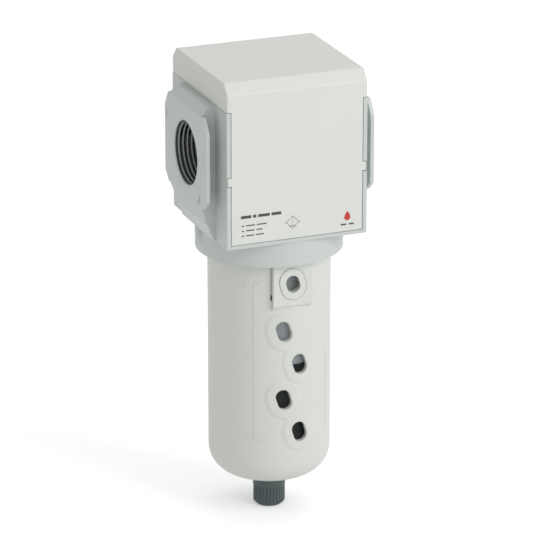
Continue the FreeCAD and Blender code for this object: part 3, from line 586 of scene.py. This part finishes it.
# The lock's slot goes through the wall, and a groove in its two sides takes the lock's rails.
lock_low, lock_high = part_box("bowl_lock")
lock_rail, slot_play, groove_reach = 0.001, 0.0007, 0.0013
lock_half = (lock_high.x - lock_low.x) / 2 - lock_rail
slot_y, groove_y, slot_z = (-0.0345, -0.0200), (-0.0289, -0.0272), (-0.0733, -0.0523)
cut_away(guard, box_cutter("slot_cutter", lock_half + slot_play, slot_y, slot_z))
cut_away(guard, box_cutter("rail_cutter", lock_half + groove_reach, groove_y, slot_z))
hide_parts("bowl_guard")
finish_mesh(guard, "bowl", guard_plastic, 30)

# ---------------------------------------------------------------- bowl lock
# The sliding button at the top of the guard that keeps the bowl from turning. It is moulded
# in the guard's plastic, with a raised boss round its own small window and a fine groove
# round the boss.
lock = merged_copy("bowl_lock", "lock_button")
lock_eye, boss_rise = (0.0, -0.0646), 0.0005
ring_grow, ring_wide, ring_deep, ring_past, ring_points = 0.0030, 0.00045, 0.00030, 0.0001, 64
island_y = (-0.0360, -0.0300)
face_edge_y, rail_edge_y = -0.0315, -0.029
face_edge, side_edge = 0.00035, 0.0002
lock_face_y = lock_low.y + boss_rise
groove_rings = [(depth, ring_grow + ring_wide)
                for depth in (lock_face_y - ring_past, lock_face_y + ring_deep)]
island_rings = [(depth, ring_grow) for depth in island_y]
groove = window_cutter("ring_groove", lock_eye, groove_rings, ring_points, False)
cut_away(groove, window_cutter("ring_island", lock_eye, island_rings, ring_points, False))
cut_away(lock, groove)
bevel_where(lock, lambda p: p.y < face_edge_y, face_edge)
bevel_where(lock, lambda p: face_edge_y <= p.y < rail_edge_y, side_edge, 2)
finish_mesh(lock, "lock", guard_plastic, 40)

# ---------------------------------------------------------------- clear bowl
# The pressure bowl inside the guard, injection-moulded in transparent polycarbonate, with a
# groove for its seal ring. Its colour is painted light and shade: a pale, more opaque band round
# the filter element stands for the lit element seen through the windows, and the dark, clearer
# wall below it, where the level is read through the windows, is painted shade of the bowl's inside.
# The painted light ends at the filter element's foot: pale and more opaque above, dark and clear
# below as painted shade.
painted_light_foot, painted_light_fade = -0.1096, 0.0003
clear_lip_z, clear_edge = -0.0425, 0.00025
clear_wall = bpy.data.materials.new("clear_polycarbonate")
clear_wall.use_nodes = True
clear_tree = clear_wall.node_tree
clear_shader = clear_tree.nodes["Principled BSDF"]
clear_shader.inputs["IOR"].default_value = 1.585
clear_place = clear_tree.nodes.new("ShaderNodeTexCoord")
clear_height = clear_tree.nodes.new("ShaderNodeSeparateXYZ")
painted_light_band = clear_tree.nodes.new("ShaderNodeMapRange")
painted_light_band.inputs["From Min"].default_value = painted_light_foot
painted_light_band.inputs["From Max"].default_value = painted_light_foot + painted_light_fade
painted_light_and_shade_tint = clear_tree.nodes.new("ShaderNodeMix")
painted_light_and_shade_tint.data_type = "RGBA"
painted_light_and_shade_tint.inputs["A"].default_value = (0.16, 0.185, 0.19, 1)
painted_light_and_shade_tint.inputs["B"].default_value = (0.56, 0.60, 0.63, 1)
painted_light_cover = clear_tree.nodes.new("ShaderNodeMapRange")
painted_light_cover.inputs["To Min"].default_value = 0.10
painted_light_cover.inputs["To Max"].default_value = 0.40
clear_tree.links.new(clear_place.outputs["Object"], clear_height.inputs["Vector"])
clear_tree.links.new(clear_height.outputs["Z"], painted_light_band.inputs["Value"])
clear_tree.links.new(painted_light_band.outputs["Result"], painted_light_and_shade_tint.inputs["Factor"])
clear_tree.links.new(painted_light_band.outputs["Result"], painted_light_cover.inputs["Value"])
clear_tree.links.new(painted_light_and_shade_tint.outputs["Result"], clear_shader.inputs["Base Color"])
clear_tree.links.new(painted_light_cover.outputs["Result"], clear_shader.inputs["Alpha"])
clear_touched = clear_tree.nodes.new("ShaderNodeGroup")
clear_touched.node_tree = marks
clear_rough = clear_tree.nodes.new("ShaderNodeMapRange")
clear_rough.inputs["To Min"].default_value = 0.03
clear_rough.inputs["To Max"].default_value = 0.12
clear_tree.links.new(clear_place.outputs["Object"], clear_touched.inputs["Vector"])
clear_tree.links.new(clear_touched.outputs["Mask"], clear_rough.inputs["Value"])
clear_tree.links.new(clear_rough.outputs["Result"], clear_shader.inputs["Roughness"])
clear = merged_copy("clear_bowl", "clear_bowl_wall")
bevel_where(clear, lambda p: p.z > clear_lip_z, clear_edge, 2)
finish_mesh(clear, "bowl", clear_wall)

# ---------------------------------------------------------------- drain knob
# The knob that closes the condensate drain, moulded in dark glass-filled plastic, with a
# plain collar over thirty fine flutes. Its foot takes a hose connector.
knob_plastic = satin("knob_plastic", (0.098, 0.125, 0.130), (0.078, 0.102, 0.107),
                     0.42, 0.58, 2600, 0.00002)
knob = merged_copy("drain_knob", "fluted_knob")
knob_rad, flute_edge = 0.0082, 0.00012
bevel_where(knob, lambda p: from_bowl_axis(p) > knob_rad - near, flute_edge, 2)
finish_mesh(knob, "knob", knob_plastic, 30)

# ---------------------------------------------------------------- inner pieces
# The cartridge, the seals, the springs and the drain's working parts are the design's own
# solids, turned, moulded, sintered or coiled, and each gets its real finish.
media = satin("sintered_media", (0.80, 0.80, 0.76), (0.70, 0.70, 0.66), 0.80, 0.95, 1400, 0.00012)
rubber = satin("gasket_rubber", (0.030, 0.030, 0.030), (0.020, 0.020, 0.020), 0.62, 0.75,
               2200, 0.00002)
dark_plastic = satin("dark_moulding", (0.030, 0.032, 0.033), (0.022, 0.024, 0.025), 0.40, 0.52,
                     2200, 0.00002)
pale_plastic = satin("pale_moulding", (0.66, 0.68, 0.67), (0.60, 0.62, 0.61), 0.42, 0.54,
                     2200, 0.00002)
steel = satin("zinc_plated_steel", (0.62, 0.62, 0.60), (0.54, 0.54, 0.52), 0.26, 0.40, 3000,
              0.00001, 1.0)
brass = satin("machined_brass", (0.72, 0.55, 0.28), (0.66, 0.50, 0.25), 0.20, 0.34, 3000,
              0.00001, 1.0)
inner_finish = {
    "vane_ring": dark_plastic, "baffle": pale_plastic, "tie_rod_nut": pale_plastic,
    "element_top_gasket": rubber, "element_bottom_gasket": rubber, "bowl_o_ring": rubber,
    "drain_gasket": rubber, "drain_valve_seal": rubber, "filter_element": media,
    "tie_rod": steel, "knob_clip": steel,
    "drain_body": knob_plastic, "drain_nut": knob_plastic, "drain_valve": brass}
for name, material in inner_finish.items():
    nodes[name].data.materials.clear()
    nodes[name].data.materials.append(material)

# The real coils shorten towards their fixed seats as the lock or the knob is pushed; here each is a
# copy of the design's spring, finished in steel on the bowl, with its own mesh.
for name, joint, seat in (("lock_springs", "lock_slide", -0.0733),
                          ("drain_spring", "drain_push", -0.17255)):
    coil = merged_copy(name, f"{name}_coil")
    finish_mesh(coil, "bowl", steel)
    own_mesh(coil)

# ---------------------------------------------------------------- panel print
# The front panel's pad print: blank bars for the data lines, the standard symbol of a filter
# with drain, and a plain drop. The ink is a few hundredths of a millimetre thick.
ink_thick = 0.00003
ink_black = satin("print_black", (0.075, 0.078, 0.082), (0.060, 0.063, 0.067), 0.45, 0.55,
                  2000, 0.000004)
ink_red = satin("print_red", (0.62, 0.045, 0.030), (0.56, 0.040, 0.027), 0.45, 0.55,
                2000, 0.000004)
ink_border = 0.12
panel_y = -body_half_y


def slab(across, height, wide, tall, turn=0.0, face=panel_y, thick=ink_thick):
    """A small bar on the panel's face, its front inset with a border; across is from the middle."""
    bpy.ops.object.select_all(action="DESELECT")
    bpy.ops.mesh.primitive_cube_add(size=1, location=(bowl_axis_x + across, face, height),
                                    rotation=(0, turn, 0), scale=(wide, thick * 2, tall))
    bar = bpy.context.object
    bpy.ops.object.transform_apply(location=True, rotation=True, scale=True)
    for thing in (bar.data.vertices, bar.data.edges, bar.data.polygons):
        thing.foreach_set("select", [False] * len(thing))
    for side in bar.data.polygons:
        side.select = side.normal.y < -0.9
    open_edit(bar, ("FACE",))
    bpy.ops.mesh.inset(thickness=min(wide, tall) * ink_border, depth=0)
    close_edit()
    return bar


def joined(name, pieces):
    """The pieces as one object with the given name."""
    bpy.ops.object.select_all(action="DESELECT")
    for piece in pieces:
        piece.select_set(True)
    bpy.context.view_layer.objects.active = pieces[0]
    bpy.ops.object.join()
    pieces[0].name = name
    return pieces[0]


# Each row of bars: where it starts, its height, how tall and how far apart its bars are.
data_rows = (
    (-0.0300, -0.0240, 0.0015, 0.0009, (0.0055, 0.0018, 0.0062, 0.0052)),
    (-0.0296, -0.0285, 0.0006, 0.0010, (0.0012, 0.0048, 0.0052)),
    (-0.0296, -0.0311, 0.0006, 0.0010, (0.0012, 0.0046, 0.0032)),
    (-0.0296, -0.0337, 0.0006, 0.0010, (0.0012, 0.0044, 0.0042)))
data_bars = []
for reach, height, tall, gap, widths in data_rows:
    for width in widths:
        data_bars.append(slab(reach + width / 2, height, width, tall))
        reach += width + gap
finish_mesh(joined("data_print", data_bars), "head", ink_black)

# The symbol is a square on its corner, with a stub on either side, the filter's dashed line
# down its middle and the drain's two slopes at its foot. The shares are of half its width.
symbol_x, symbol_z, symbol_half = -0.0025, -0.0297, 0.0033
line, stub_gap, stub_wide = 0.00022, 0.0004, 0.0009
slope_side, slope_share, slope_turn = symbol_half / 4, 0.62, math.radians(20)
dash_count, dash_top, dash_step, dash_share = 4, 0.72, 0.36, 0.22
symbol = []
for side_x in (-1, 1):
    for side_z in (-1, 1):
        symbol.append(slab(symbol_x + side_x * symbol_half / 2, symbol_z + side_z * symbol_half / 2,
                           symbol_half * math.sqrt(2), line, side_x * side_z * math.pi / 4))
    symbol.append(slab(symbol_x + side_x * (symbol_half + stub_gap), symbol_z, stub_wide, line))
    symbol.append(slab(symbol_x + side_x * slope_side, symbol_z - symbol_half * slope_share,
                       symbol_half * slope_share, line, side_x * slope_turn))
for dash in range(dash_count):
    symbol.append(slab(symbol_x, symbol_z + symbol_half * (dash_top - dash_step * dash), line,
                       symbol_half * dash_share))
finish_mesh(joined("filter_symbol", symbol), "head", ink_black)

drop_x, drop_z, drop_rad, drop_points = 0.0268, -0.0308, 0.0017, 24
drop_pinch, drop_stretch = 0.25, 0.75
caption_z, caption_tall = -0.0345, 0.0008
caption_bars = ((-0.0020, 0.0030), (0.0022, 0.0026))
bpy.ops.object.select_all(action="DESELECT")
bpy.ops.mesh.primitive_cylinder_add(vertices=drop_points, radius=drop_rad, depth=ink_thick * 2,
                                    location=(bowl_axis_x + drop_x, panel_y, drop_z),
                                    rotation=(math.pi / 2, 0, 0))
drop = bpy.context.object
drop.name = "drop_mark"
bpy.ops.object.transform_apply(location=True, rotation=True, scale=True)
for corner in drop.data.vertices:
    lift = corner.co.z - drop_z
    if lift > 0:
        share = lift / drop_rad
        aside = corner.co.x - bowl_axis_x - drop_x
        corner.co.x -= aside * share * drop_pinch
        corner.co.z = drop_z + lift * (1 + share * drop_stretch)
finish_mesh(drop, "head", ink_red)
caption = [slab(drop_x + aside, caption_z, width, caption_tall) for aside, width in caption_bars]
finish_mesh(joined("drop_caption", caption), "head", ink_black)

# ---------------------------------------------------------------- level scale
# The fine raised lines and marks on the guard's side are part of its moulding: a long line
# between an upper and a lower mark, and a fainter one on the other side.
rib_rise = 0.00022


def guard_rib(angle, height, wide, tall):
    """A low rib on the guard, turned about the bowl's axis; angle 0 is the front."""
    rib = slab(0, height, wide, tall, 0, -guard_rad, rib_rise)
    turn = math.radians(angle)
    for corner in rib.data.vertices:
        away = corner.co.x - bowl_axis_x
        reach_out = -corner.co.y
        swing = turn + away / guard_rad
        corner.co.x = bowl_axis_x + reach_out * math.sin(swing)
        corner.co.y = -reach_out * math.cos(swing)
    return rib


# Each rib: its angle in degrees, its height, and how wide and tall it is. In turn: the long
# line with its upper and lower mark, the line on the other side, three short bars, two crosses.
scale_ribs = (
    (-36, -0.1065, 0.00035, 0.085), (-33, -0.0640, 0.0030, 0.00030),
    (-33, -0.1490, 0.0030, 0.00030), (44, -0.1280, 0.00030, 0.044),
    (-44, -0.0630, 0.0036, 0.00030), (-44, -0.0650, 0.0036, 0.00030),
    (-44, -0.0670, 0.0036, 0.00030),
    (-42, -0.1040, 0.0022, 0.00032), (-42, -0.1040, 0.00032, 0.0022),
    (-42, -0.1480, 0.0022, 0.00032), (-42, -0.1480, 0.00032, 0.0022))
ribs = [guard_rib(*rib) for rib in scale_ribs]
finish_mesh(joined("level_scale", ribs), "bowl", guard_plastic)
